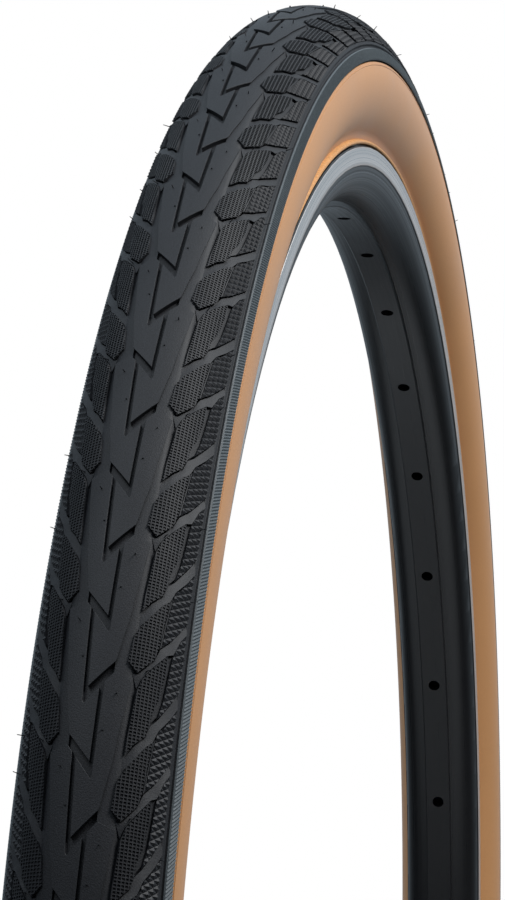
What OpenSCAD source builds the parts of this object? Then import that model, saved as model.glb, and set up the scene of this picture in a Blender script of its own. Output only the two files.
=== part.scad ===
// Bicycle tyre, size 42-622, on a double-wall rim with an inner tube and a car-type valve.
// Millimetres. Origin: wheel centre. +Y: the wheel's axis. +Z: up, with the valve at the bottom.
// The tyre is a stack of rings about +Y. Profiles are drawn as [radius, distance along the axis].

/* [Tyre] */
// Diameter of the rim's bead seat, the standard size of the wheel
bead_seat_d = 622; // [500:1:750]
// Height of the tyre from the bead seat to the crown
section_h = 50.5; // [46:0.5:62]
// Width of the tyre across its sidewalls
section_w = 41.4; // [38:0.2:50]
// Thickness of the tread rubber at the crown
tread_t = 3; // [2:0.1:5]
// Half angle that the tread spans, about the middle of the casing
tread_a = 60; // [50:0.5:66]
// Half angle out to the lower edge of the ribbed wing strips
wing_a = 70.5; // [68:0.5:80]
// Thickness of the gum sidewalls
gum_t = 1.2; // [0.8:0.1:1.6]
// Thickness of one casing ply
ply_t = 0.6; // [0.4:0.05:0.8]
// Half angle of the crown where the two folded edges of the casing overlap
overlap_a = 28; // [10:1:32]
// Thickness of the puncture belt
belt_t = 1; // [0.6:0.1:2]
// Half angle that the puncture belt spans
belt_a = 36; // [34:1:45]
// Diameter of the bead wires
wire_d = 2; // [1.6:0.1:2.4]
// Width of one bead, from its toe to its heel
bead_w = 4.7; // [4.2:0.1:6]
// Thickness of the rubber strip that wraps the bead
strip_t = 0.9; // [0.6:0.1:1.2]
// Gap that stands for the bond between two cured layers
bond = 0.2; // [0.1:0.05:0.3]

/* [Rim] */
// Width between the rim's hooks
rim_in_w = 25; // [23:0.5:30]
// Height of the rim's flanges above the bead seat
flange_h = 6.5; // [5.5:0.1:7]
// Thickness of a flange behind its hook
flange_t = 1.6; // [1.3:0.1:2.5]
// How far a hook stands in from the flange
hook = 0.8; // [0.4:0.1:1]
// Depth of the well below the bead seat
well_d = 2.5; // [2:0.1:4]
// Width of the well
well_w = 13; // [11:0.5:14]
// Radial distance from the bead seat to the flat rib on the hub side
rim_depth = 12.8; // [11:0.2:24]
// Width of the flat rib that holds the spoke holes
rib_w = 10; // [8:0.5:14]
// Height of that rib above the rounded back of the rim
rib_h = 1.7; // [0.6:0.1:3]
// Thickness of the rim's walls
rim_t = 1.5; // [1.2:0.1:2.2]
// Number of spoke holes
spokes = 36; // [24:4:48]
// Diameter of a spoke hole in the rib
spoke_hole_d = 4.5; // [4:0.1:6]
// Diameter of the nipple's way in through the bridge under the rim tape
access_hole_d = 8.5; // [7:0.5:10]
// Length along the rim of the sleeve that joins its two ends
sleeve_len = 40; // [20:1:44]
// Thickness of the rim tape
tape_t = 0.6; // [0.4:0.1:1.2]

/* [Tube and valve] */
// Wall of the inner tube
tube_t = 1; // [0.8:0.1:1.4]
// Gap round the tube inside the tyre
tube_gap = 0.3; // [0.1:0.1:1]
// Diameter of the valve stem over its thread
stem_d = 7.8; // [7.6:0.1:8]
// Length of the valve stem from its foot to its tip
stem_len = 41; // [36:1:60]
// Diameter of the stem's foot inside its rubber base
foot_d = 10.4; // [9.4:0.2:11]
// Diameter of the rubber base that carries the stem on the tube
base_d = 12.4; // [12:0.2:12.8]
// Clearance of the stem in the rim's valve hole, on the radius
stem_gap = 0.35; // [0.2:0.05:0.5]
// Running clearance on the radius between screwed or sliding valve pieces
run = 0.06; // [0.03:0.01:0.1]
// Outer diameter of the locknut over its knurl
nut_d = 13; // [11:0.5:16]
// Height of the locknut
nut_h = 3; // [2:0.5:5]
// Thickness of the washer under the locknut
washer_t = 0.6; // [0.4:0.1:1.2]
// Outer diameter of the valve cap
cap_d = 10.6; // [10:0.2:13]
// Height of the valve cap
cap_h = 11.5; // [10:0.5:16]
// Wall of the cap above its gasket
cap_top = 1.6; // [1:0.1:3]
// Thickness of the gasket inside the cap
gasket_t = 1; // [0.6:0.1:1.5]
// Diameter of the valve core's thread
core_d = 5.2; // [5:0.1:5.4]
// Length of the valve core's barrel
core_len = 11.4; // [10:0.2:14]
// Diameter of the sprung pin
pin_d = 1.2; // [1:0.1:1.4]
// How far the pin can be pressed
pin_travel = 1.5; // [1:0.1:2]
// Wire of the pin's spring
spring_wire = 0.35; // [0.3:0.05:0.4]
// Turns of the pin's spring
spring_turns = 5; // [4:1:7]

/* [Hidden] */
$fn = 96;
seat_r = bead_seat_d / 2;
crown_r = seat_r + section_h;
half_w = section_w / 2;

// Casing: a circle with two plies, and a third where the folded edges overlap
casing_o = half_w - gum_t - bond;
casing_i = casing_o - 2 * ply_t;
overlap_o = casing_o + ply_t;
belt_i = overlap_o + bond;
belt_o = belt_i + belt_t;
casing_c = crown_r - tread_t - bond - belt_o;

// Outer surface: two shallow side arcs, trimmed by a crown arc
arc_shift = 2;
side_arc_r = half_w + arc_shift;
wide_r = crown_r - half_w - 1;
crown_arc_r = half_w + 0.3;

// Beads, measured from the bead seat and from the hooks
hook_gap = 0.2;
bead_out = rim_in_w / 2 - hook_gap;
ply_out = bead_out - strip_t - bond;
ply_in = bead_out - bead_w;
bead_r = seat_r + hook_gap + strip_t;
wire_r = bead_r + ply_t + wire_d / 2;
wire_y = (ply_out + ply_in) / 2;
leg_r = casing_c - sqrt(casing_o * casing_o - ply_out * ply_out);
leg_lap = 0.4;
leg_top_r = leg_r + leg_lap;
leg_in = sqrt(casing_i * casing_i - pow(casing_c - leg_top_r, 2)) + 0.1;
core_r = wire_r + wire_d / 2 + 1.4;
strip_r = seat_r + flange_h + 2.4;
ridge_y = bead_out + 1.5;

// Rim
rim_w = rim_in_w + 2 * (hook + flange_t);
edge_r = seat_r + flange_h;
rib_r = seat_r - rim_depth;
back_r = rib_r + rib_h;
back_arc = seat_r - back_r;
track_w = rim_w - 0.8;
back_y = track_w / 2 - back_arc;
well_r = seat_r - well_d;
bridge_r = well_r - rim_t;
bed_r = back_r + rim_t;
sleeve_gap = 0.3;
spoke_step = 360 / spokes;
spoke_phase = spoke_step / 2;

// Tape and tube
tape_w = well_w - 0.6;
tape_r = well_r + 0.15;
tube_o = casing_i - tube_gap;
neck_w = 2 * (ply_in - tube_gap);
tube_r = tape_r + tape_t + 1.8;
neck_c = tube_r + neck_w / 2;

// Valve: heights are Z, so the hub side is up
stem_r = stem_d / 2;
foot_z = -(tube_r - 0.4);
foot_t = 0.7;
tip_z = foot_z + stem_len;
valve_hole_r = stem_r + stem_gap;
air_r = 1.6;
core_bore_r = core_d / 2 + run;
core_slim_r = core_d / 2 - 0.7;
core_top_z = tip_z - 1.6;
core_low_z = core_top_z - core_len;
thread_z = core_top_z - 3.6;
gasket_z = thread_z - 1.5;
seat_bore_r = core_slim_r + 0.55;
barrel_bore_r = 1.35;
barrel_floor = 1.4;
pin_r = pin_d / 2;
pin_top_z = tip_z - 0.4;
collar_r = 1.2;
collar_z = core_top_z - 2.6;
seal_t = 0.8;
pin_low_z = core_low_z - 3;
spring_r = (pin_r + barrel_bore_r) / 2;
spring_low_z = core_low_z + barrel_floor + 0.05;
spring_top_z = collar_z - 0.6 - 0.05;
washer_z = -rib_r + 0.12;
nut_z = washer_z + washer_t + 0.05;
cap_z = tip_z + gasket_t + cap_top + 0.1 - cap_h;

// A ring about +Y from a profile of [radius, distance along the axis]
module ring() {
    rotate([-90, 0, 0]) rotate_extrude($fn = 180) children();
}

// Everything within a half angle of the crown, seen from the middle of the casing
module wedge(a) {
    far = 40;
    translate([casing_c, 0]) polygon([[0, 0], [far, -far * tan(a)], [far, far * tan(a)]]);
}

// The whole half plane on one side of the wheel's middle
module half_plane(side) {
    translate([0, side > 0 ? 0 : -100]) square([crown_r + 50, 100]);
}

// A polygon at +Y or mirrored to -Y, from its points at +Y, always wound the same way
module side_polygon(side, points) {
    last = len(points) - 1;
    polygon([for (i = [0 : last]) let (p = points[side > 0 ? i : last - i]) [p[0], side * p[1]]]);
}

module casing_disc(r) {
    translate([casing_c, 0]) circle(r);
}

// Outline of the whole tyre above the beads
module outer_section() {
    casing_disc(half_w);
    intersection() {
        translate([wide_r, arc_shift]) circle(side_arc_r);
        translate([wide_r, -arc_shift]) circle(side_arc_r);
        translate([crown_r - crown_arc_r, 0]) circle(crown_arc_r);
        translate([casing_c, -half_w - 1]) square([half_w * 2, section_w + 2]);
    }
}

module tread() {
    color([0.17, 0.18, 0.2]) ring() difference() {
        intersection() {
            outer_section();
            wedge(tread_a);
        }
        casing_disc(casing_o + bond);
        intersection() {
            casing_disc(belt_o + bond);
            wedge(belt_a + 0.7);
        }
    }
}

module wing_strip(side) {
    color([0.36, 0.39, 0.4]) ring() difference() {
        intersection() {
            outer_section();
            wedge(wing_a);
            half_plane(side);
        }
        wedge(tread_a + 0.6);
        casing_disc(casing_o + bond);
    }
}

module puncture_belt() {
    color([0.5, 0.12, 0.1]) ring() intersection() {
        difference() {
            casing_disc(belt_o);
            casing_disc(belt_i);
        }
        wedge(belt_a);
    }
}

// The folded ply round one bead wire
module bead_core(side) {
    difference() {
        side_polygon(side, [
            [bead_r, ply_in], [core_r, ply_in], [leg_top_r, leg_in],
            [leg_top_r, ply_out], [bead_r, ply_out]
        ]);
        translate([wire_r, side * wire_y]) circle(wire_d / 2 + 0.1, $fn = 48);
    }
}

module casing() {
    color([0.55, 0.5, 0.42]) ring() {
        difference() {
            union() {
                casing_disc(casing_o);
                intersection() {
                    casing_disc(overlap_o);
                    wedge(overlap_a);
                }
            }
            casing_disc(casing_i);
            translate([leg_r - leg_lap / 2 - half_w, -half_w]) square([half_w, section_w]);
        }
        bead_core(1);
        bead_core(-1);
    }
}

module sidewall(side) {
    color([0.78, 0.55, 0.33]) ring() {
        difference() {
            intersection() {
                outer_section();
                half_plane(side);
            }
            wedge(wing_a + 0.6);
            casing_disc(casing_o + bond);
            translate([0, -half_w - 1]) square([leg_r, section_w + 2]);
        }
        intersection() {
            half_plane(side);
            difference() {
                union() {
                    casing_disc(half_w);
                    translate([strip_r + bond, -bead_out]) square([leg_r - strip_r, 2 * bead_out]);
                }
                translate([0, -ply_out - bond]) square([crown_r, 2 * (ply_out + bond)]);
                translate([0, -half_w - 1]) square([strip_r + bond, section_w + 2]);
                translate([leg_r + 0.01, -half_w - 1]) square([crown_r, section_w + 2]);
                casing_disc(casing_o + bond);
            }
        }
    }
}

module bead_wire(side) {
    color([0.72, 0.7, 0.65]) ring() translate([wire_r, side * wire_y]) circle(wire_d / 2, $fn = 48);
}

module bead_strip(side) {
    inner = ply_out + bond;
    sole_r = bead_r - bond;
    color([0.72, 0.47, 0.26]) ring() {
        side_polygon(side, [
            [seat_r + hook_gap, ply_in], [sole_r, ply_in], [sole_r, inner],
            [strip_r, inner], [strip_r, bead_out], [seat_r + hook_gap, bead_out]
        ]);
        side_polygon(side, [
            [strip_r - 1.7, inner], [strip_r, inner], [strip_r, bead_out],
            [strip_r - 0.5, ridge_y - 0.1], [strip_r - 1, ridge_y], [strip_r - 1.4, ridge_y - 0.2]
        ]);
    }
}

module tube_section(inset) {
    casing_disc(tube_o - inset);
    translate([neck_c, 0]) circle(neck_w / 2 - inset);
    translate([neck_c, -neck_w / 2 + inset]) square([casing_c - neck_c, neck_w - 2 * inset]);
}

module inner_tube() {
    color([0.1, 0.1, 0.1]) difference() {
        ring() difference() {
            tube_section(0);
            tube_section(tube_t);
        }
        translate([0, 0, -tube_r - 3]) cylinder(h = 6, r = air_r + 0.4);
    }
}

module rim_tape() {
    color([0.2, 0.35, 0.6]) difference() {
        ring() translate([tape_r, -tape_w / 2]) square([tape_t, tape_w]);
        translate([0, 0, -tape_r - 5]) cylinder(h = 10, r = valve_hole_r);
    }
}

// Rounded back of the rim: two arcs and the flat between them, on the hub side of the bead seat
module rim_back(inset) {
    intersection() {
        union() {
            translate([seat_r, back_y]) circle(back_arc - inset);
            translate([seat_r, -back_y]) circle(back_arc - inset);
            translate([back_r + inset, -back_y]) square([back_arc, 2 * back_y]);
        }
        translate([0, -rim_w]) square([seat_r, 2 * rim_w]);
    }
}

// The bridge that closes the hollow rim under the tyre, with its well in the middle
module rim_bridge(clear) {
    translate([seat_r - rim_t - clear, -rim_w]) square([20, 2 * rim_w]);
    translate([bridge_r - clear, -well_w / 2 - rim_t - clear]) square([20, well_w + 2 * (rim_t + clear)]);
}

module rim_flange(side) {
    outer = rim_w / 2;
    wall = rim_in_w / 2 + hook;
    side_polygon(side, [
        [seat_r - 1.2, wall], [edge_r - 3, wall], [edge_r - 2, rim_in_w / 2],
        [edge_r - 0.4, rim_in_w / 2], [edge_r, rim_in_w / 2 + 0.4], [edge_r, outer - 0.5],
        [edge_r - 0.5, outer], [seat_r + 0.4, outer], [seat_r, track_w / 2 + 0.02],
        [seat_r - 1.2, track_w / 2 - 0.1]
    ]);
}

module rim() {
    color([0.14, 0.14, 0.15]) difference() {
        ring() {
            difference() {
                rim_back(0);
                difference() {
                    rim_back(rim_t);
                    rim_bridge(0);
                }
                translate([well_r, -well_w / 2]) square([well_d + 1, well_w]);
            }
            polygon([
                [rib_r, rib_w / 2 - 0.4], [rib_r, -rib_w / 2 + 0.4], [rib_r + 0.4, -rib_w / 2],
                [bed_r, -rib_w / 2], [bed_r, rib_w / 2], [rib_r + 0.4, rib_w / 2]
            ]);
            rim_flange(1);
            rim_flange(-1);
        }
        for (i = [0 : spokes - 1]) rotate([0, spoke_phase + i * spoke_step, 0]) {
            translate([0, 0, rib_r - 3]) cylinder(h = bed_r - rib_r + 6, d = spoke_hole_d, $fn = 48);
            translate([0, 0, bridge_r - 1.5]) cylinder(h = 8, d = access_hole_d, $fn = 48);
        }
        translate([0, 0, -seat_r]) cylinder(h = rim_depth + 3, r = valve_hole_r);
    }
}

module rim_joint_sleeve() {
    half = sleeve_len / 2;
    color([0.75, 0.75, 0.77]) intersection() {
        ring() difference() {
            rim_back(rim_t + sleeve_gap);
            rim_back(2 * rim_t + sleeve_gap);
            rim_bridge(sleeve_gap);
        }
        translate([-half, -rim_w, rib_r - 5]) cube([sleeve_len, 2 * rim_w, 40]);
    }
}

module valve_base() {
    color([0.1, 0.1, 0.1]) difference() {
        intersection() {
            translate([0, 0, -tube_r - 1]) cylinder(h = 1 + tube_r - tape_r - tape_t - 0.1, d = base_d);
            translate([-base_d, 0.05 - well_w / 2, -tube_r - 2]) cube([2 * base_d, well_w - 0.1, 10]);
        }
        ring() tube_section(-0.1);
        translate([0, 0, -seat_r]) cylinder(h = 10, r = stem_r + run);
        translate([0, 0, foot_z - run]) cylinder(h = foot_t + 2 * run, d = foot_d + 2 * run);
        translate([0, 0, -tube_r - 5]) cylinder(h = 5 + tube_r + foot_z, d = foot_d + 2 * run);
    }
}

module valve_stem() {
    color([0.78, 0.64, 0.33]) difference() {
        union() {
            translate([0, 0, foot_z]) cylinder(h = foot_t, d = foot_d);
            translate([0, 0, foot_z]) cylinder(h = stem_len - 0.5, r = stem_r);
            translate([0, 0, tip_z - 0.5]) cylinder(h = 0.5, r1 = stem_r, r2 = stem_r - 0.4);
        }
        translate([0, 0, foot_z - 1]) cylinder(h = stem_len + 2, r = air_r);
        translate([0, 0, pin_low_z - 2]) cylinder(h = stem_len, r = seat_bore_r);
        translate([0, 0, thread_z - 0.6]) cylinder(h = 20, r = core_bore_r);
    }
}

module valve_locknut() {
    color([0.75, 0.75, 0.77]) difference() {
        translate([0, 0, nut_z]) union() {
            cylinder(h = nut_h, d = nut_d - 0.8);
            translate([0, 0, 0.5]) cylinder(h = nut_h - 1, d = nut_d - 0.4);
            for (a = [0 : 15 : 345]) rotate([0, 0, a])
                translate([nut_d / 2 - 0.45, 0, 0.5]) cylinder(h = nut_h - 1, r = 0.45, $fn = 24);
        }
        translate([0, 0, nut_z - 1]) cylinder(h = nut_h + 2, r = stem_r + run);
    }
}

module locknut_washer() {
    color([0.15, 0.15, 0.15]) translate([0, 0, washer_z]) difference() {
        cylinder(h = washer_t, d = nut_d - 1.4);
        translate([0, 0, -1]) cylinder(h = washer_t + 2, r = stem_r + run);
    }
}

module core_barrel() {
    color([0.8, 0.68, 0.4]) difference() {
        union() {
            translate([0, 0, thread_z]) cylinder(h = core_top_z - thread_z, d = core_d);
            translate([0, 0, core_low_z]) cylinder(h = core_len - 1, r = core_slim_r);
        }
        translate([0, 0, core_low_z + barrel_floor]) cylinder(h = core_len, r = barrel_bore_r);
        translate([0, 0, core_low_z - 1]) cylinder(h = core_len, r = pin_r + run);
    }
}

module core_gasket() {
    color([0.75, 0.2, 0.15]) difference() {
        translate([0, 0, gasket_z]) cylinder(h = 1.3, r = seat_bore_r - run);
        translate([0, 0, gasket_z - 1]) cylinder(h = 4, r = core_slim_r + run);
    }
}

module valve_pin() {
    color([0.8, 0.68, 0.4]) {
        translate([0, 0, pin_low_z]) cylinder(h = pin_top_z - pin_low_z, r = pin_r);
        translate([0, 0, collar_z - 0.6]) cylinder(h = 0.6, r = collar_r);
        translate([0, 0, core_low_z - seal_t - 0.75]) cylinder(h = 0.6, r = core_slim_r - 0.3);
    }
}

module pin_seal() {
    color([0.12, 0.12, 0.12]) difference() {
        translate([0, 0, core_low_z - seal_t - 0.1]) cylinder(h = seal_t, r = core_slim_r - 0.1);
        translate([0, 0, core_low_z - 3]) cylinder(h = 4, r = pin_r + run);
    }
}

// A point on the spring's centre line, u from 0 to 1
function spring_point(u) = [
    spring_r * cos(360 * spring_turns * u), spring_r * sin(360 * spring_turns * u),
    spring_low_z + spring_wire / 2 + u * (spring_top_z - spring_low_z - spring_wire)
];

module pin_spring() {
    steps = spring_turns * 12;
    color([0.7, 0.7, 0.72]) for (i = [0 : steps - 1]) hull() {
        translate(spring_point(i / steps)) sphere(d = spring_wire, $fn = 6);
        translate(spring_point((i + 1) / steps)) sphere(d = spring_wire, $fn = 6);
    }
}

module valve_cap() {
    rib = 0.5;
    color([0.08, 0.08, 0.08]) difference() {
        translate([0, 0, cap_z]) union() {
            cylinder(h = cap_h - 1, d = cap_d - rib);
            translate([0, 0, cap_h - 1]) cylinder(h = 1, d1 = cap_d - rib, d2 = cap_d - rib - 1.6);
            for (a = [0 : 30 : 330]) rotate([0, 0, a])
                translate([cap_d / 2 - rib, 0, 0.8]) cylinder(h = cap_h - 2.6, r = rib, $fn = 24);
        }
        translate([0, 0, cap_z - 1]) cylinder(h = 1 + cap_h - cap_top, r = stem_r + run);
    }
}

module cap_gasket() {
    color([0.25, 0.25, 0.25]) difference() {
        translate([0, 0, tip_z + 0.05]) cylinder(h = gasket_t, r = stem_r - run);
        translate([0, 0, tip_z - 1]) cylinder(h = 4, r = pin_r + 0.6);
    }
}

tread();
wing_strip(1);  // wing_strip_left
wing_strip(-1);  // wing_strip_right
puncture_belt();
casing();
sidewall(1);  // sidewall_left
sidewall(-1);  // sidewall_right
bead_wire(1);  // bead_wire_left
bead_wire(-1);  // bead_wire_right
bead_strip(1);  // bead_strip_left
bead_strip(-1);  // bead_strip_right
inner_tube();
rim_tape();
rim();
rim_joint_sleeve();
valve_base();
valve_stem();
valve_locknut();
locknut_washer();
core_barrel();
core_gasket();
valve_pin();
pin_seal();
pin_spring();
valve_cap();
cap_gasket();
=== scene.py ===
import bpy, math
import numpy as np
from mathutils import Matrix, Vector


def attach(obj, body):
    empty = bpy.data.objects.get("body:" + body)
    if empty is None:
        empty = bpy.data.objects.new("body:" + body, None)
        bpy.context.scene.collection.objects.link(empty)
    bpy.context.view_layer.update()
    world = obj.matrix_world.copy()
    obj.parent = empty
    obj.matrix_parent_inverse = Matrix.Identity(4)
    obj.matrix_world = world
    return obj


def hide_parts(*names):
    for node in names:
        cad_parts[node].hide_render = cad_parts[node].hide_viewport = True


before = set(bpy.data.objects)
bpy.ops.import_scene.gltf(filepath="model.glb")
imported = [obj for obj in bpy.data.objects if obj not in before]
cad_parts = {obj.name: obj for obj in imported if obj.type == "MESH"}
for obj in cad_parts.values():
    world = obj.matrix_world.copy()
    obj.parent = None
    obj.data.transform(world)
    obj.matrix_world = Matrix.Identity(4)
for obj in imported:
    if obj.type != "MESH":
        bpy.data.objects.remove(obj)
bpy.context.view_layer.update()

# ---------------------------------------------------------------- tread base
# The tread is one moulded band of black rubber, cured onto the casing. This ring is the band
# below the blocks: it is seen as the floor of the grooves and as the smooth edge of the tread.
# Sizes are in mm, and a piece is brought to metres as it is turned or bent onto the tyre.
crown_radius, half_width, casing_middle = 361.5, 20.7, 337.2
crown_curve = 21
shoulder_curve, shoulder_middle, shoulder_shift = 22.7, 339.8, 2
pitches = 62
pitch = 2 * math.pi * crown_radius / pitches
black_rubber = (0.0085, 0.0095, 0.0125)


def put_down():
    """Leaves edit mode with nothing selected."""
    if bpy.context.object and bpy.context.mode != "OBJECT":
        bpy.ops.object.mode_set(mode="OBJECT")
    bpy.ops.object.select_all(action="DESELECT")


def pick(*pieces):
    put_down()
    for piece in pieces:
        piece.select_set(True)
    bpy.context.view_layer.objects.active = pieces[0]


def faces_out(piece, gap=0.0005):
    """Merges doubles and turns every face outwards."""
    pick(piece)
    bpy.ops.object.mode_set(mode="EDIT")
    bpy.ops.mesh.select_all(action="SELECT")
    bpy.ops.mesh.remove_doubles(threshold=gap)
    bpy.ops.mesh.normals_make_consistent(inside=False)
    bpy.ops.object.mode_set(mode="OBJECT")


def tyre_section():
    """The outer section from the crown outwards: length along it, radius, side, and the way out."""
    turn = np.radians(np.linspace(0, 125, 1001))
    out, side = np.cos(turn), np.sin(turn)
    reach = np.full(len(turn), np.inf)
    for radius, middle, shift in ((shoulder_curve, shoulder_middle, -shoulder_shift),
                                  (shoulder_curve, shoulder_middle, shoulder_shift),
                                  (crown_curve, crown_radius - crown_curve, 0)):
        along = out * (middle - casing_middle) + side * shift
        square = along**2 - (middle - casing_middle) ** 2 - shift**2 + radius**2
        reach = np.minimum(reach, along + np.sqrt(square))
    reach = np.where(out > 0, np.maximum(reach, half_width), half_width)
    r, y = casing_middle + reach * out, reach * side
    step = np.hypot(np.diff(r), np.diff(y))
    length = np.concatenate([[0], np.cumsum(step)])
    dr, dy = np.gradient(r, length), np.gradient(y, length)
    dr[0], dy[0] = 0, 1
    return length, r, y, dy, -dr


section = tyre_section()


def on_section(across):
    """Radius, side and outward direction of the skin, this far across it from the crown."""
    sign = np.where(np.asarray(across) < 0, -1.0, 1.0)
    far = np.abs(across)
    r, y, out, side = (np.interp(far, section[0], part) for part in section[1:])
    return r, sign * y, out, sign * side


def turned(name, profile, steps):
    """A ring spun round the wheel's axis from a closed outline of (radius, side), in mm."""
    put_down()
    bpy.ops.mesh.primitive_circle_add(vertices=len(profile), radius=1, fill_type="NOTHING")
    ring = bpy.context.object
    ring.name = ring.data.name = name
    for corner, (r, y) in zip(ring.data.vertices, profile):
        corner.co = (r / 1000, y / 1000, 0)
    bpy.ops.object.mode_set(mode="EDIT")
    bpy.ops.mesh.select_all(action="SELECT")
    bpy.ops.mesh.spin(steps=steps, angle=2 * math.pi, center=(0, 0, 0), axis=(0, 1, 0))
    bpy.ops.object.mode_set(mode="OBJECT")
    faces_out(ring, 0.00002)
    pick(ring)
    bpy.ops.object.shade_smooth_by_angle(angle=math.radians(32))
    return ring


def skin_profile(stops, thickness):
    """An outline that follows the skin at (across, depth) stops, and its own inside."""
    top, under = [], []
    for across, depth in stops:
        r, y, out, side = (float(v) for v in on_section(across))
        top.append((r - out * depth, y - side * depth))
        under.append((r - out * thickness, y - side * thickness))
    return top + under[::-1]


# Depth below the skin at each distance across: the middle grooves, the step beside the lugs,
# the floor between the shoulder blocks, and the plain edge with its fine channel.
floor_depths = [(0, 1.25), (2.2, 1.25), (4.3, 1.25), (4.5, 0.5), (5.6, 0.5), (6.8, 0.5),
                (7.8, 0.52), (8.8, 0.6), (9.6, 0.95), (10.6, 1.5), (12, 1.6), (14, 1.6), (16, 1.6),
                (18, 1.6), (20, 1.6), (21.7, 1.6), (22.3, 0.45), (22.9, 0.3), (23.5, 0.35),
                (23.85, 0.95), (24.2, 1.05), (24.55, 0.95), (24.8, 0.45)]
band_thickness = 2.9
both_sides = [(-a, d) for a, d in floor_depths[:0:-1]] + floor_depths
tread_floor = turned("tread_floor", skin_profile(both_sides, band_thickness), 6 * pitches)

# Fine mould grain and a faint unevenness of tone, shared by all the rubber pieces.
grain = bpy.data.node_groups.new("moulded grain", "ShaderNodeTree")
for socket, kind, value in (("Place", "NodeSocketVector", None),
                            ("Colour", "NodeSocketColor", (0.02, 0.02, 0.02, 1)),
                            ("Tone", "NodeSocketFloat", 0.15),
                            ("Grain Size", "NodeSocketFloat", 1500.0),
                            ("Grain Depth", "NodeSocketFloat", 0.3),
                            ("Roughness", "NodeSocketFloat", 0.5)):
    made = grain.interface.new_socket(socket, in_out="INPUT", socket_type=kind)
    if value is not None:
        made.default_value = value
for socket, kind in (("Colour", "NodeSocketColor"), ("Roughness", "NodeSocketFloat"),
                     ("Normal", "NodeSocketVector")):
    grain.interface.new_socket(socket, in_out="OUTPUT", socket_type=kind)


def node(tree, kind, values=None, **settings):
    """A node with its settings, its inputs set, or fed from the sockets given."""
    made = tree.nodes.new(kind)
    for key, value in settings.items():
        setattr(made, key, value)
    for key, value in (values or {}).items():
        if isinstance(value, bpy.types.NodeSocket):
            tree.links.new(value, made.inputs[key])
        else:
            made.inputs[key].default_value = value
    return made


given = node(grain, "NodeGroupInput")
place = given.outputs["Place"]
fine = node(grain, "ShaderNodeTexNoise", {"Vector": place, "Scale": given.outputs["Grain Size"],
                                          "Detail": 3.0, "Roughness": 0.6})
patches = node(grain, "ShaderNodeTexNoise", {"Vector": place, "Scale": 22.0, "Detail": 4.0})
lighter = node(grain, "ShaderNodeMapRange", {"Value": patches.outputs["Fac"], "From Min": 0.3,
                                             "From Max": 0.7, "To Min": -0.5, "To Max": 0.5})
amount = node(grain, "ShaderNodeMath", {0: lighter.outputs["Result"], 1: given.outputs["Tone"]},
              operation="MULTIPLY")
spread = node(grain, "ShaderNodeMapRange", {"Value": fine.outputs["Fac"], "From Min": 0.35,
                                            "From Max": 0.65, "To Min": -1.0, "To Max": 1.0})
speck = node(grain, "ShaderNodeMath", {0: spread.outputs["Result"],
                                       1: given.outputs["Grain Depth"], 2: 1.0},
             operation="MULTIPLY_ADD")
gain = node(grain, "ShaderNodeMath", {0: amount.outputs[0], 1: speck.outputs[0]},
            operation="ADD")
toned = node(grain, "ShaderNodeHueSaturation", {"Value": gain.outputs[0],
                                                "Color": given.outputs["Colour"]})
rough = node(grain, "ShaderNodeMath", {0: lighter.outputs["Result"], 1: 0.12,
                                       2: given.outputs["Roughness"]}, operation="MULTIPLY_ADD")
bumped = node(grain, "ShaderNodeBump", {"Height": fine.outputs["Fac"], "Distance": 0.0002,
                                        "Strength": given.outputs["Grain Depth"]})
node(grain, "NodeGroupOutput", {"Colour": toned.outputs["Color"], "Roughness": rough.outputs[0],
                                "Normal": bumped.outputs["Normal"]})


def rubber(name, colour, tone, size, depth, roughness, **shine):
    """A rubber of one colour with the moulded grain on it."""
    made = bpy.data.materials.new(name)
    made.use_nodes = True
    tree = made.node_tree
    skin = tree.nodes["Principled BSDF"]
    place = node(tree, "ShaderNodeTexCoord")
    grained = node(tree, "ShaderNodeGroup", node_tree=grain)
    tree.links.new(place.outputs["Object"], grained.inputs["Place"])
    for key, value in (("Colour", (*colour, 1)), ("Tone", tone), ("Grain Size", size),
                       ("Grain Depth", depth), ("Roughness", roughness)):
        grained.inputs[key].default_value = value
    tree.links.new(grained.outputs["Colour"], skin.inputs["Base Color"])
    tree.links.new(grained.outputs["Roughness"], skin.inputs["Roughness"])
    tree.links.new(grained.outputs["Normal"], skin.inputs["Normal"])
    for key, value in shine.items():
        skin.inputs[key.replace("_", " ")].default_value = value
    return made


tread_rubber = rubber("tread rubber", black_rubber, 0.2, 2600.0, 0.4, 0.6,
                      Specular_IOR_Level=0.36)
tread_floor.data.materials.append(tread_rubber)
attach(tread_floor, "root")
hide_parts("tread")

# ---------------------------------------------------------------- centre lugs
# The smooth middle of the tread: two rows of long arrow lugs that interlock along a zigzag of
# wide slanted grooves and narrow sipes. Moulded in one with the tread band.
# Outlines are lists of (across, along) in the flat.
start_angle = math.radians(72.614)
lug_foot, lug_edge, lug_cuts = -1.6, 0.06, (1.5, 4.0)
right_lug = [(-4.6, 28.8), (-2.52, 31.43), (-2.12, 54.7), (-1.8, 55.3), (2.1, 50.27),
             (1.25, 69.5), (-4.6, 62.65), (-4.75, 62.0), (-5.6, 56.6), (-6.5, 51.6),
             (-7.2, 44.3), (-8.1, 37.8), (-8.9, 30.4)]
left_lug = [(4.6, 10.5), (3.2, 12.3), (2.25, 36.35), (1.8, 37.0), (-1.48, 32.75),
            (-1.2, 51.2), (4.6, 44.35), (4.75, 43.7), (5.6, 38.3), (6.5, 33.3),
            (7.2, 26.0), (8.1, 19.5), (8.9, 12.1)]


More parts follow.
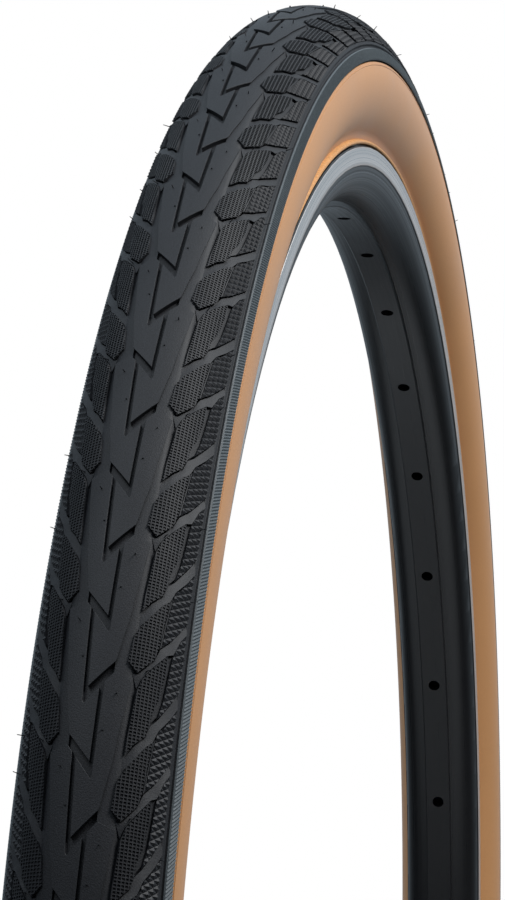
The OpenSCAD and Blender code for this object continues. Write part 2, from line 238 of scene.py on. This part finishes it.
def cut_out(name, outline, low, high):
    """A flat blank of that outline, given as (across, along), from one height to another."""
    put_down()
    bpy.ops.mesh.primitive_circle_add(vertices=len(outline), radius=1, fill_type="NGON")
    blank = bpy.context.object
    blank.name = blank.data.name = name
    for corner, (across, along) in zip(blank.data.vertices, outline):
        corner.co = (along, across, low)
    bpy.ops.object.mode_set(mode="EDIT")
    bpy.ops.mesh.select_all(action="SELECT")
    bpy.ops.mesh.extrude_region_move(TRANSFORM_OT_translate={"value": (0, 0, high - low)})
    bpy.ops.mesh.select_all(action="SELECT")
    bpy.ops.mesh.normals_make_consistent(inside=False)
    bpy.ops.object.mode_set(mode="OBJECT")
    return blank


def blunt_top(piece, height, width):
    """Takes the sharpness off the edges all round the top face."""
    pick(piece)
    mesh = piece.data
    for edge in mesh.edges:
        edge.select = all(abs(mesh.vertices[v].co.z - height) < 1e-4 for v in edge.vertices)
    bpy.ops.object.mode_set(mode="EDIT")
    bpy.ops.mesh.select_mode(type="EDGE")
    bpy.ops.mesh.bevel(offset=width, segments=1, clamp_overlap=True)
    bpy.ops.mesh.select_mode(type="VERT")
    bpy.ops.object.mode_set(mode="OBJECT")


def score(piece, across_step, along_step):
    """Divides a blank along straight lines, so that it can bend round the tyre."""
    margin = 0.1
    corners = np.array([v.co for v in piece.data.vertices])
    pick(piece)
    bpy.ops.object.mode_set(mode="EDIT")
    for axis, step in ((1, across_step), (0, along_step)):
        low, high = corners[:, axis].min(), corners[:, axis].max()
        for k in range(math.floor(low / step) + 1, math.ceil(high / step)):
            if low + margin < k * step < high - margin:
                point, normal = [0, 0, 0], [0, 0, 0]
                point[axis], normal[axis] = k * step, 1
                bpy.ops.mesh.select_all(action="SELECT")
                bpy.ops.mesh.bisect(plane_co=point, plane_no=normal)
    bpy.ops.object.mode_set(mode="OBJECT")


def join(name, *pieces):
    """Makes one piece of several, under a name of its own."""
    pick(*pieces)
    if len(pieces) > 1:
        bpy.ops.object.join()
    whole = bpy.context.object
    whole.name = whole.data.name = name
    return whole


def use(piece, modifier, **settings):
    """Puts a modifier on a piece and applies it."""
    pick(piece)
    made = piece.modifiers.new(modifier.lower(), modifier)
    for key, value in settings.items():
        setattr(made, key, value)
    bpy.ops.object.modifier_apply(modifier=made.name)


def roll_up(piece):
    """Repeats one pitch of flat blocks round the wheel and bends it onto the skin."""
    use(piece, "ARRAY", count=pitches, use_relative_offset=False, use_constant_offset=True,
        constant_offset_displace=(pitch, 0, 0))
    mesh = piece.data
    flat = np.empty(len(mesh.vertices) * 3)
    mesh.vertices.foreach_get("co", flat)
    along, across, height = flat.reshape(-1, 3).T
    r, y, out, side = on_section(across)
    radius, angle = r + out * height, start_angle - along / crown_radius
    bent = np.stack([-radius * np.cos(angle), y + side * height, radius * np.sin(angle)], 1) / 1000
    mesh.vertices.foreach_set("co", bent.ravel())
    mesh.update()
    pick(piece)
    bpy.ops.object.mode_set(mode="EDIT")
    bpy.ops.mesh.select_all(action="SELECT")
    bpy.ops.mesh.normals_make_consistent(inside=False)
    bpy.ops.object.mode_set(mode="OBJECT")
    bpy.ops.object.shade_smooth_by_angle(angle=math.radians(28))
    return piece


lugs = []
for name, outline in (("right_lug", right_lug), ("left_lug", left_lug)):
    lug = cut_out(name, outline, lug_foot, 0)
    blunt_top(lug, 0, lug_edge)
    score(lug, *lug_cuts)
    lugs.append(lug)
tread_centre = roll_up(join("tread_centre", *lugs))
tread_centre.data.materials.append(tread_rubber)
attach(tread_centre, "root")
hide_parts("tread")

# ---------------------------------------------------------------- shoulder blocks
# Two rows of slanted blocks on each side of the tread, each split by a groove into an inner
# part with a fine waffle of pits and an outer part with a coarse file of small pyramids.
# A smooth ramp leads from the foot of each block up to the next. Moulded with the tread band.
pit_along, pit_across = 0.85, 0.95
pit_wall, pit_slope, pit_depth = 0.12, 0.09, 0.24
tooth_along, tooth_across = 0.95, 1.5
tooth_cells, tooth_rise, tooth_valley = 36, 0.42, 0.26
block_foot, clear_above, block_cuts = -1.9, 2.0, (1.6, 3.6)
ramp_foot, ramp_tops, ramp_rows = -0.6, (-0.8, -0.5, -0.2, -0.12), 3
blunt_inner = [(7.35, 25.6), (9.9, 28.1), (13.7, 23.8), (14.55, 20.6), (16.0, 7.6), (15.4, 7.9),
               (14.1, 9.2), (10.0, 15.0), (8.2, 18.5)]
blunt_outer = [(15.3, 19.9), (17.9, 17.2), (21.0, 12.7), (22.3, 10.6), (22.3, -2.8), (20.4, 0.5),
               (18.7, 3.2), (17.3, 4.2), (16.75, 6.5)]
blunt_seam = [(14.75, 20.4), (15.1, 20.1), (16.5, 6.7), (16.2, 7.3)]
blunt_base = [(7.6, 25.5), (9.9, 27.9), (13.7, 23.6), (15.0, 19.9), (17.9, 17.0), (20.9, 12.5),
              (22.2, 10.4), (22.2, -2.5), (20.5, 0.8), (18.8, 3.5), (17.4, 4.5), (16.5, 6.8),
              (15.5, 8.1), (14.2, 9.4), (10.2, 15.1), (8.4, 18.6)]
sharp_inner = [(9.1, 48.9), (9.3, 45.4), (9.85, 38.5), (10.4, 32.3), (11.4, 29.2), (14.1, 25.4),
               (17.2, 21.5), (17.5, 24.6), (16.6, 32.7), (15.6, 35.4), (15.0, 37.0),
               (14.7, 40.0), (13.7, 43.3), (11.2, 45.8)]
sharp_base = [(9.6, 45.0), (10.5, 32.5), (11.6, 29.3), (14.2, 25.6), (17.2, 21.8), (19.0, 21.0),
              (21.2, 15.5), (22.2, 14.8), (22.2, 29.0), (20.1, 32.5), (16.6, 37.5),
              (14.8, 39.7), (13.6, 43.0), (11.1, 45.5), (9.4, 48.4)]
sharp_outer = [(21.4, 15.2), (19.7, 18.5), (18.9, 21.5), (18.4, 26.9), (17.7, 33.1),
               (16.6, 37.9), (20.2, 32.7), (22.3, 29.2), (22.4, 15.0), (22.2, 14.2)]
blunt_ramp = ([(8.9, 28.4), (10.2, 28.4), (13.9, 24.0), (15.3, 20.4), (18.1, 17.4), (21.2, 12.9),
               (22.5, 10.9)],
              [(10.3, 31.9), (11.2, 29.2), (14.0, 25.3), (17.2, 21.4), (18.9, 20.6), (20.6, 16.3),
               (22.5, 13.6)])
sharp_ramp = ([(8.3, 49.6), (9.4, 49.3), (11.4, 46.1), (13.9, 43.6), (15.0, 40.2), (16.8, 38.3),
               (20.4, 33.0), (22.5, 29.5)],
              [(8.1, 55.2), (9.4, 52.4), (11.6, 49.4), (14.1, 45.8), (15.9, 44.2), (17.2, 40.9),
               (20.2, 37.1), (22.5, 33.4)])


def close_under(slab):
    """Closes a patterned sheet with walls and a flat underside."""
    pick(slab)
    bpy.ops.object.mode_set(mode="EDIT")
    bpy.ops.mesh.select_all(action="SELECT")
    bpy.ops.mesh.region_to_loop()
    bpy.ops.mesh.extrude_edges_move(TRANSFORM_OT_translate={"value": (0, 0, -3)})
    bpy.ops.mesh.edge_face_add()
    bpy.ops.mesh.select_all(action="SELECT")
    bpy.ops.mesh.normals_make_consistent(inside=False)
    bpy.ops.object.mode_set(mode="OBJECT")
    return slab


def waffle(middle, size):
    """A slab whose top is a waffle of square pits. Middle and size are (across, along)."""
    put_down()
    bpy.ops.mesh.primitive_grid_add(x_subdivisions=round(size[1] / pit_along),
                                    y_subdivisions=round(size[0] / pit_across), size=1)
    slab = bpy.context.object
    bpy.ops.object.mode_set(mode="EDIT")
    bpy.ops.mesh.select_all(action="SELECT")
    bpy.ops.transform.resize(value=(size[1], size[0], 1))
    bpy.ops.transform.translate(value=(middle[1], middle[0], 0))
    bpy.ops.mesh.inset(thickness=pit_wall, use_individual=True)
    bpy.ops.mesh.inset(thickness=pit_slope, depth=-pit_depth, use_individual=True)
    bpy.ops.object.mode_set(mode="OBJECT")
    return close_under(slab)


def file_teeth(middle):
    """A slab whose top is a file of low pyramids on a diamond grid."""
    put_down()
    bpy.ops.mesh.primitive_grid_add(x_subdivisions=tooth_cells, y_subdivisions=tooth_cells,
                                    size=tooth_cells)
    slab = bpy.context.object
    bpy.ops.object.mode_set(mode="EDIT")
    bpy.ops.mesh.select_all(action="SELECT")
    bpy.ops.transform.rotate(value=math.radians(45), orient_axis="Z", center_override=(0, 0, 0))
    bpy.ops.transform.resize(value=(tooth_along * math.sqrt(2), tooth_across * math.sqrt(2), 1),
                             center_override=(0, 0, 0))
    bpy.ops.transform.translate(value=(middle[1], middle[0], -tooth_valley))
    bpy.ops.mesh.poke(offset=tooth_rise)
    bpy.ops.object.mode_set(mode="OBJECT")
    return close_under(slab)


def trim(slab, outline, name):
    """Keeps what of a slab lies inside the outline."""
    blank = cut_out("trim", outline, block_foot, clear_above)
    use(slab, "BOOLEAN", operation="INTERSECT", object=blank, solver="EXACT")
    bpy.data.objects.remove(blank)
    slab.name = slab.data.name = name
    return slab


def ramp(name, low_edge, high_edge):
    """A smooth slope from the foot of one block up to the next, between two lines of points."""
    put_down()
    count = len(low_edge)
    bpy.ops.mesh.primitive_grid_add(x_subdivisions=count - 1, y_subdivisions=ramp_rows, size=1)
    slope = bpy.context.object
    slope.name = slope.data.name = name
    for k, corner in enumerate(slope.data.vertices):
        row, column = divmod(k, count)
        share = row / ramp_rows
        low, high = low_edge[column], high_edge[column]
        rise = ramp_tops[min(column, len(ramp_tops) - 1)] - ramp_foot
        corner.co = (low[1] + (high[1] - low[1]) * share, low[0] + (high[0] - low[0]) * share,
                     ramp_foot + rise * share)
    slope = close_under(slope)
    score(slope, *block_cuts)
    return slope


def mirrored(piece, name):
    """A copy of a piece, mirrored across the crown."""
    other = piece.copy()
    other.data = piece.data.copy()
    bpy.context.collection.objects.link(other)
    other.name = other.data.name = name
    pick(other)
    bpy.ops.object.mode_set(mode="EDIT")
    bpy.ops.mesh.select_all(action="SELECT")
    bpy.ops.transform.resize(value=(1, -1, 1), center_override=(0, 0, 0))
    bpy.ops.mesh.normals_make_consistent(inside=False)
    bpy.ops.object.mode_set(mode="OBJECT")
    return other


blunt_blocks = [trim(waffle((11.5, 18), (12.6, 24)), blunt_inner, "blunt_inner")]
sharp_blocks = [trim(waffle((13.4, 35), (11.7, 32)), sharp_inner, "sharp_inner")]
coarse_blocks = [trim(file_teeth((18.9, 8.0)), blunt_outer, "blunt_outer"),
                 trim(file_teeth((19.5, 26.5)), sharp_outer, "sharp_outer")]
plain_blocks = []
for name, outline, top in (("blunt_base", blunt_base, -0.7), ("blunt_seam", blunt_seam, -0.05),
                           ("sharp_base", sharp_base, -0.8)):
    blank = cut_out(name, outline, block_foot, top)
    score(blank, *block_cuts)
    plain_blocks.append(blank)
plain_blocks += [ramp("ramp_below_blunt", *blunt_ramp), ramp("ramp_below_sharp", *sharp_ramp)]

# The left side's blocks stand half a pitch behind the right side's.
for name, blocks in (("blunt_waffle", blunt_blocks), ("sharp_waffle", sharp_blocks),
                     ("outer_file", coarse_blocks), ("shoulder_base", plain_blocks)):
    left = join(name + "_left", *blocks)
    right = mirrored(left, name + "_right")
    pick(left)
    bpy.ops.object.mode_set(mode="EDIT")
    bpy.ops.mesh.select_all(action="SELECT")
    bpy.ops.transform.translate(value=(-pitch / 2, 0, 0))
    bpy.ops.object.mode_set(mode="OBJECT")
    for blocks_there in (left, right):
        roll_up(blocks_there)
        blocks_there.data.materials.append(tread_rubber)
        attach(blocks_there, "root")
        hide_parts("tread")

# ---------------------------------------------------------------- vent hairs
# Thin hairs of rubber left by the mould's vents: a broken row near each edge of the tread and
# a few in every pitch on the lugs and ramps. They lean a little, each its own way.
picks = np.random.default_rng(5)
edge_share, hair_root, hair_lean = 0.4, 0.6, 0.3
hairs = []
for side in (-1, 1):
    for k in range(2 * pitches):
        if picks.random() < edge_share:
            hairs.append((side * 22.0, k * pitch / 2 + picks.uniform(-6, 6),
                          picks.uniform(0.7, 1.9), 0.15))
    for k in range(pitches):
        shift = k * pitch - (pitch / 2 if side > 0 else 0)
        hairs.append((side * 3.5, shift + 43.5, 0.35, 0.3))
        hairs.append((side * 5.5, shift + 34.0, picks.uniform(0.4, 1.3), 0.2))
        hairs.append((side * 12.2, shift + 27.0, picks.uniform(0.8, 1.6), 0.16))
put_down()
bpy.ops.mesh.primitive_cone_add(vertices=6, radius1=1, radius2=0.6, depth=1, location=(0, 0, 0.5))
hair = bpy.context.object
hair.name = hair.data.name = "vent_hairs"
bpy.ops.object.transform_apply(location=True, rotation=True, scale=True)
shape = np.array([v.co for v in hair.data.vertices])
use(hair, "ARRAY", count=len(hairs), use_relative_offset=False, use_constant_offset=True,
    constant_offset_displace=(5, 0, 0))
spots = []
for across, along, length, thick in hairs:
    r, y, out, aside = (float(v) for v in on_section(across))
    angle = start_angle - along / crown_radius
    outward = Vector((-out * math.cos(angle), aside, out * math.sin(angle)))
    turn = outward.to_track_quat("Z", "Y")
    lean = turn @ Vector((picks.uniform(-hair_lean, hair_lean),
                          picks.uniform(-hair_lean, hair_lean), 1))
    base = Vector((-r * math.cos(angle), y, r * math.sin(angle))) - outward * hair_root
    for x, z, h in shape:
        round_it = turn @ Vector((x * thick, z * thick, 0))
        spots.append((base + round_it + lean * (h * (length + hair_root))) / 1000)
hair.data.vertices.foreach_set("co", np.array(spots).ravel())
hair.data.update()
faces_out(hair, 0.0000001)
hair.data.materials.append(tread_rubber)
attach(hair, "root")
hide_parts("tread")

# ---------------------------------------------------------------- ribbed edge strips
# A strip of rubber at each edge of the tread, cured over the edge of the gum. The mould
# cuts it into fine slanted ribs. Its blue-grey base colour, far lighter than the tread's black,
# is painted sheen: the light grey that the band shows where it catches the light.
ribs = 36
rib_step = pitch / ribs
rib_height, rib_slant = 0.2, 3.2
strip_start, strip_width, strip_shares = 24.75, 4.05, (0, 0.08, 0.5, 0.92, 1)
inner_edge, outer_edge = -0.45, -0.3
# The blue-grey base colour here is painted sheen laid on black rubber.
sheen_painted_strip_rubber = rubber("edge strip rubber, painted sheen", (0.06, 0.074, 0.082), 0.2, 2600.0, 0.3, 0.5,
                      Specular_IOR_Level=0.6)
for side, name in ((-1, "wing_strip_right"), (1, "wing_strip_left")):
    put_down()
    bpy.ops.mesh.primitive_grid_add(x_subdivisions=2 * ribs,
                                    y_subdivisions=len(strip_shares) - 1, size=1)
    strip = bpy.context.object
    strip.name = strip.data.name = name + "_ribbed"
    for k, corner in enumerate(strip.data.vertices):
        row, column = divmod(k, 2 * ribs + 1)
        share = strip_shares[row]
        along = column * rib_step / 2 - rib_slant * share
        across = strip_start + strip_width * share
        depth = 0.0 if column % 2 else rib_height
        heights = (inner_edge, -depth, -depth, -depth, outer_edge)
        corner.co = (along, side * across, heights[row])
    bpy.ops.object.mode_set(mode="EDIT")
    bpy.ops.mesh.select_all(action="SELECT")
    bpy.ops.mesh.normals_make_consistent(inside=False)
    bpy.ops.object.mode_set(mode="OBJECT")
    roll_up(strip)
    faces_out(strip, 0.00002)
    use(strip, "SOLIDIFY", thickness=0.0011, offset=-1)
    faces_out(strip, 0.000001)
    pick(strip)
    bpy.ops.object.shade_smooth_by_angle(angle=math.radians(20))
    strip.data.materials.append(sheen_painted_strip_rubber)
    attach(strip, "root")
    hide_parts(name)

# ---------------------------------------------------------------- gum sidewalls
# Thin tan rubber over the casing on each side, plain and satin, with one fine moulded line
# near its outer edge. Cured onto the casing.
gum_colour = (0.57, 0.285, 0.12)
gum = rubber("gum rubber", gum_colour, 0.08, 3000.0, 0.05, 0.4, Specular_IOR_Level=0.5)
wall_thickness, line_height, tucked_in = 1.15, 0.18, 0.5
wall_stops = [70.8, 71.6, 72.2, 73.2, 73.6, 73.9, 74.3, 74.7, 75.5, 78, 82, 86, 90, 95, 100, 105,
              110, 115, 119, 123, 127, 130, 132, 134, 136, 138]
wall_foot = [(320.7, 13.4), (320.0, 13.2), (319.4, 13.0), (319.4, 12.2), (321.7, 11.8)]
for side, name in ((-1, "sidewall_right"), (1, "sidewall_left")):
    outside, inside = [], []
    for degrees in wall_stops:
        raised = line_height if 73.6 < degrees < 74.5 else 0.0
        sunk = tucked_in if degrees < 71 else 0.0
        turn = math.radians(degrees)
        for reach, line in ((half_width + raised - sunk, outside),
                            (half_width - wall_thickness, inside)):
            line.append((casing_middle + reach * math.cos(turn), side * reach * math.sin(turn)))
    foot = [(r, side * y) for r, y in wall_foot]
    wall = turned(name + "_gum", outside + foot + inside[::-1], 360)
    wall.data.materials.append(gum)
    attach(wall, "root")
    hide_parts(name)

# ---------------------------------------------------------------- bead strips
# A strip of rubbered tan cloth wraps each bead, so that the rim doesn't chafe the casing.
# Its lip shows as a thin tan ridge against the rim's edge.
chafer = rubber("bead strip rubber", (0.62, 0.31, 0.11), 0.15, 1100.0, 0.2, 0.5)
lip = [(317.95, 12.9), (318.0, 14.0), (318.2, 14.5), (318.6, 14.7), (319.0, 14.6),
       (319.3, 14.2), (319.5, 13.6), (319.6, 12.9)]
for side, name in ((-1, "bead_strip_right"), (1, "bead_strip_left")):
    strip = turned(name + "_lip", [(r, side * y) for r, y in lip], 360)
    for piece, finish in ((strip, chafer), (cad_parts[name], gum)):
        piece.data.materials.clear()
        piece.data.materials.append(finish)
    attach(strip, "root")

# ---------------------------------------------------------------- rim
# A black anodised double-wall rim, extruded and rolled to a ring, then drilled. The brake
# tracks on the flanges' sides are machined bright, and the rest keeps its black.
rim_black, track_bright = (0.009, 0.009, 0.01), (0.84, 0.79, 0.76)
track_side, track_radius = (0.01478, 0.01484), (0.3108, 0.3126)
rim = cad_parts["rim"]
anodised = bpy.data.materials.new("anodised rim")
anodised.use_nodes = True
tree = anodised.node_tree
skin = tree.nodes["Principled BSDF"]
place = node(tree, "ShaderNodeTexCoord")
part = node(tree, "ShaderNodeSeparateXYZ", {"Vector": place.outputs["Object"]})
flat_place = node(tree, "ShaderNodeCombineXYZ", {"X": part.outputs["X"], "Z": part.outputs["Z"]})
radius = node(tree, "ShaderNodeVectorMath", {0: flat_place.outputs[0]}, operation="LENGTH")
side_place = node(tree, "ShaderNodeMath", {0: part.outputs["Y"]}, operation="ABSOLUTE")
turned_lines = node(tree, "ShaderNodeCombineXYZ", {"X": radius.outputs["Value"],
                                                   "Y": part.outputs["Y"]})
lines = node(tree, "ShaderNodeTexNoise", {"Vector": turned_lines.outputs[0], "Scale": 2600.0,
                                          "Detail": 3.0})
beyond = node(tree, "ShaderNodeMapRange", {"Value": side_place.outputs[0],
                                           "From Min": track_side[0], "From Max": track_side[1]})
above = node(tree, "ShaderNodeMapRange", {"Value": radius.outputs["Value"],
                                          "From Min": track_radius[0],
                                          "From Max": track_radius[1]})
bright = node(tree, "ShaderNodeMath", {0: beyond.outputs["Result"], 1: above.outputs["Result"]},
              operation="MULTIPLY")
tint = node(tree, "ShaderNodeMix", {"Factor": bright.outputs[0]}, data_type="RGBA")
tint.inputs["A"].default_value = (*rim_black, 1)
tint.inputs["B"].default_value = (*track_bright, 1)
shade = node(tree, "ShaderNodeMapRange", {"Value": lines.outputs["Fac"], "From Min": 0.3,
                                          "From Max": 0.7, "To Min": 0.72, "To Max": 1.15})
streaked = node(tree, "ShaderNodeHueSaturation", {"Value": shade.outputs["Result"],
                                                  "Color": tint.outputs["Result"]})
tree.links.new(streaked.outputs["Color"], skin.inputs["Base Color"])
tree.links.new(bright.outputs[0], skin.inputs["Metallic"])
ridged = node(tree, "ShaderNodeMapRange", {"Value": lines.outputs["Fac"], "From Min": 0.3,
                                           "From Max": 0.7, "To Min": 0.26, "To Max": 0.46})
tree.links.new(ridged.outputs["Result"], skin.inputs["Roughness"])
skin.inputs["Specular IOR Level"].default_value = 0.3
brushed = node(tree, "ShaderNodeBump", {"Height": lines.outputs["Fac"], "Strength": 0.12,
                                        "Distance": 0.0001})
tree.links.new(brushed.outputs["Normal"], skin.inputs["Normal"])
rim.data.materials.clear()
rim.data.materials.append(anodised)

# ---------------------------------------------------------------- casing and puncture belt
# The casing is woven nylon ply rubbered on both faces, folded round the bead wires; the belt
# is a band of denser rubber on it, below the tread. Both are covered once the tyre is made.
def cover(name, material):
    """Gives a piece that keeps its built shape its finish."""
    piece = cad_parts[name]
    piece.data.materials.clear()
    piece.data.materials.append(material)


cover("casing", rubber("rubbered ply", (0.09, 0.075, 0.055), 0.2, 1200.0, 0.3, 0.6))
cover("puncture_belt", rubber("belt rubber", (0.05, 0.12, 0.2), 0.15, 1500.0, 0.2, 0.5))

# ---------------------------------------------------------------- bead wires
# Hoops of plated steel wire that hold the tyre's beads in the rim. The casing is folded round
# each hoop, so none of it shows.
scuffs = bpy.data.node_groups.new("metal scuffs", "ShaderNodeTree")
scuffs.interface.new_socket("Place", in_out="INPUT", socket_type="NodeSocketVector")
for socket, value in (("Smooth", 0.25), ("Spread", 0.2)):
    made = scuffs.interface.new_socket(socket, in_out="INPUT", socket_type="NodeSocketFloat")
    made.default_value = value
scuffs.interface.new_socket("Roughness", in_out="OUTPUT", socket_type="NodeSocketFloat")
given = node(scuffs, "NodeGroupInput")
clouds = node(scuffs, "ShaderNodeTexNoise", {"Vector": given.outputs["Place"], "Scale": 900.0,
                                             "Detail": 5.0})
worn = node(scuffs, "ShaderNodeMath", {0: clouds.outputs["Fac"], 1: given.outputs["Spread"],
                                       2: given.outputs["Smooth"]}, operation="MULTIPLY_ADD")
node(scuffs, "NodeGroupOutput", {"Roughness": worn.outputs[0]})


def metal(name, colour, smooth, spread):
    """Bare or plated metal with faintly uneven polish."""
    made = bpy.data.materials.new(name)
    made.use_nodes = True
    tree = made.node_tree
    skin = tree.nodes["Principled BSDF"]
    place = node(tree, "ShaderNodeTexCoord")
    scuffed = node(tree, "ShaderNodeGroup", node_tree=scuffs)
    tree.links.new(place.outputs["Object"], scuffed.inputs["Place"])
    scuffed.inputs["Smooth"].default_value = smooth
    scuffed.inputs["Spread"].default_value = spread
    tree.links.new(scuffed.outputs["Roughness"], skin.inputs["Roughness"])
    skin.inputs["Base Color"].default_value = (*colour, 1)
    skin.inputs["Metallic"].default_value = 1
    return made


bead_steel = metal("bead steel", (0.6, 0.5, 0.36), 0.25, 0.2)
for name in ("bead_wire_left", "bead_wire_right"):
    cover(name, bead_steel)

# ---------------------------------------------------------------- inner tube
# A black butyl tube that holds the air. The valve's rubber foot is vulcanised to it at the
# bottom of the wheel.
cover("inner_tube", rubber("butyl", (0.012, 0.012, 0.013), 0.2, 1200.0, 0.15, 0.38))

# ---------------------------------------------------------------- rim tape
# A woven tape stretched over the rim's bed, so that the tube can't press into the nipples'
# holes. It stays in place by its own tension.
cover("rim_tape", rubber("woven tape", (0.02, 0.09, 0.24), 0.15, 2500.0, 0.5, 0.7))

# ---------------------------------------------------------------- rim joint sleeve
# A plain aluminium insert pressed into both ends of the rolled rim where they meet. It holds
# the joint closed from inside.
cover("rim_joint_sleeve", metal("mill aluminium", (0.7, 0.7, 0.72), 0.35, 0.2))

# ---------------------------------------------------------------- valve
# The stem is brass in a moulded rubber foot on the tube. A washer and a knurled nut hold it
# in the rim; the core screws into it, and its pin is pushed in against a spring to let air by.
cover("valve_base", rubber("valve rubber", (0.012, 0.012, 0.013), 0.2, 1500.0, 0.2, 0.45))
nickel = metal("nickelled brass", (0.72, 0.68, 0.6), 0.16, 0.16)
cover("valve_stem", nickel)
cover("valve_locknut", nickel)
cover("locknut_washer", rubber("washer rubber", (0.014, 0.014, 0.015), 0.2, 1500.0, 0.2, 0.5))
brass = metal("brass", (0.78, 0.56, 0.24), 0.2, 0.2)
cover("core_barrel", brass)
cover("valve_pin", brass)
core_seal = rubber("core seal", (0.25, 0.02, 0.015), 0.1, 2500.0, 0.2, 0.45)
cover("core_gasket", core_seal)
cover("pin_seal", core_seal)
cover("pin_spring", metal("spring steel", (0.55, 0.56, 0.58), 0.18, 0.15))

# ---------------------------------------------------------------- valve cap
# A ribbed black plastic cap with a rubber gasket inside, screwed on the end of the stem.
cover("valve_cap", rubber("cap plastic", (0.011, 0.011, 0.012), 0.15, 2600.0, 0.12, 0.34,
                          Specular_IOR_Level=0.5))
cover("cap_gasket", rubber("gasket rubber", (0.014, 0.014, 0.015), 0.2, 1500.0, 0.2, 0.5))

# ---------------------------------------------------------------- studio
# A pale floor under the wheel, a white surround that glows more from one side, and two soft
# lamps: a wide one from the upper left and a smaller one from the upper right.
floor_level, floor_radius = -0.3616, 0.7
put_down()
bpy.ops.mesh.primitive_circle_add(vertices=96, radius=floor_radius, fill_type="NGON",
                                  location=(0, 0, floor_level))
ground = bpy.context.object
ground.name = "floor"
pale = bpy.data.materials.new("pale floor")
pale.use_nodes = True
skin = pale.node_tree.nodes["Principled BSDF"]
skin.inputs["Base Color"].default_value = (0.8, 0.8, 0.8, 1)
skin.inputs["Roughness"].default_value = 0.6
ground.data.materials.append(pale)

surround = bpy.data.worlds.new("surround")
bpy.context.scene.world = surround
surround.use_nodes = True
tree = surround.node_tree
sky = tree.nodes["Background"]
seen = node(tree, "ShaderNodeLightPath")
way = node(tree, "ShaderNodeTexCoord")
glow_from = (0.62, 0.1, 0.78)
facing = node(tree, "ShaderNodeVectorMath", {0: way.outputs["Generated"], 1: glow_from},
              operation="DOT_PRODUCT")
glow = node(tree, "ShaderNodeMapRange", {"Value": facing.outputs["Value"], "From Min": 0.0,
                                         "From Max": 1.0, "To Min": 0.03, "To Max": 0.85})
strength = node(tree, "ShaderNodeMix", {"Factor": seen.outputs["Is Camera Ray"],
                                        "A": glow.outputs["Result"], "B": 1.0})
tree.links.new(strength.outputs["Result"], sky.inputs["Strength"])
tint = node(tree, "ShaderNodeMix", {"Factor": seen.outputs["Is Camera Ray"]}, data_type="RGBA")
tint.inputs["A"].default_value = (0.74, 0.88, 1, 1)
tint.inputs["B"].default_value = (1, 1, 1, 1)
tree.links.new(tint.outputs["Result"], sky.inputs["Color"])


def lamp(name, place, target, size, power, colour=(1, 1, 1)):
    """A soft rectangular lamp at a place, turned to its target."""
    light = bpy.data.lights.new(name, "AREA")
    light.shape = "RECTANGLE"
    light.size, light.size_y = size
    light.energy = power
    light.color = colour
    holder = bpy.data.objects.new(name, light)
    bpy.context.collection.objects.link(holder)
    holder.location = place
    aim = Vector(target) - Vector(place)
    holder.rotation_euler = aim.to_track_quat("-Z", "Y").to_euler()


lamp("key lamp", place=(-0.9, 0.6, 1.8), target=(-0.25, 0, 0.2), size=(1.1, 1.1), power=15,
     colour=(0.9, 0.95, 1.0))
lamp("side lamp", place=(-0.12, -0.9, 1.3), target=(-0.08, 0, 0.3), size=(0.5, 0.5), power=21)

# The camera stands in front of the tread, a little to the wheel's right side and nearly level.
look_at, distance = Vector((-0.130387, 0, 0.218792)), 0.967842
azimuth, elevation, roll = (math.radians(a) for a in (-79.199, -0.2105, 0.9238))
eye = bpy.data.cameras.new("camera")
eye.sensor_width, eye.lens = 36, 134.41652
eye.clip_start, eye.clip_end = 0.05, 50
holder = bpy.data.objects.new("camera", eye)
bpy.context.collection.objects.link(holder)
back = Vector((math.sin(azimuth) * math.cos(elevation), -math.cos(azimuth) * math.cos(elevation),
               math.sin(elevation)))
right = (-back).cross(Vector((0, 0, 1))).normalized()
up = right.cross(-back)
level = right * math.cos(roll) + up * math.sin(roll)
upright = up * math.cos(roll) - right * math.sin(roll)
holder.matrix_world = Matrix((level, upright, back)).transposed().to_4x4()
holder.location = look_at + back * distance
bpy.context.scene.camera = holder
bpy.context.scene.view_settings.view_transform = "Standard"
